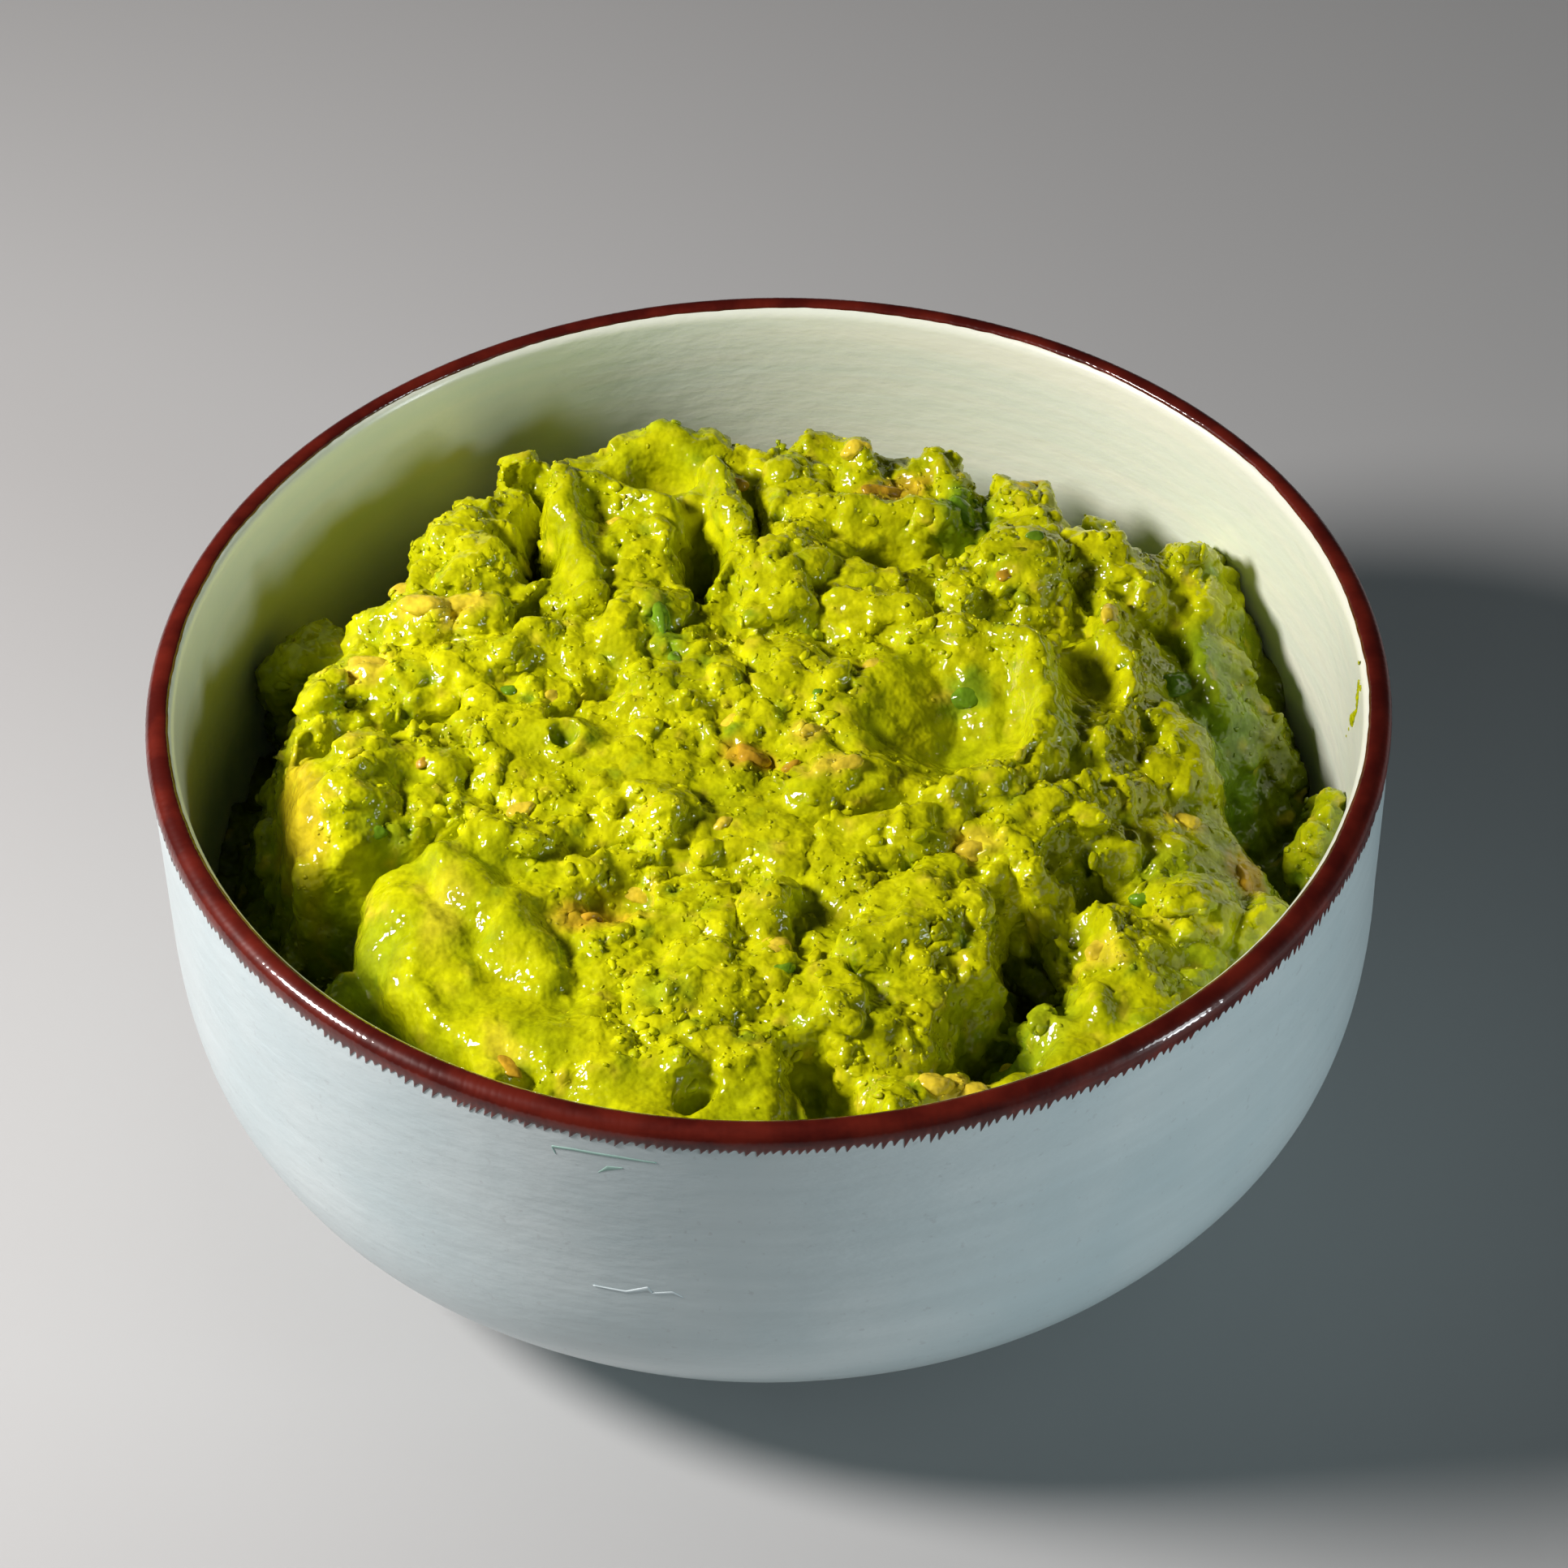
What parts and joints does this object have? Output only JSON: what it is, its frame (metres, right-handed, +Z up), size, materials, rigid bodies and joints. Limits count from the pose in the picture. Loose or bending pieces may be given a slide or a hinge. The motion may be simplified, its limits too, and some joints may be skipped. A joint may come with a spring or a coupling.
{
  "type": "bowl of guacamole",
  "caption": "Chunky mashed avocado dip heaped in a round glazed stoneware bowl with straight sides, a dark painted rim and a foot ring.",
  "frame": {"origin": "centre of the foot ring, in the plane the bowl stands on", "axes": "+Z up, out of the bowl; -Y towards the viewer; +X to the viewer's right"},
  "size_m": [0.15, 0.15, 0.066],
  "materials": {
    "bowl_glaze": "satin pale blue-grey glaze outside, glossy cream inside, with a glossy dark red-brown painted rim",
    "guacamole": "wet, lumpy yellow-green mash with soft avocado chunks"
  },
  "bodies": {
    "root": {"bowl": "bowl_glaze", "guacamole": "guacamole"}
  },
  "joints": []
}
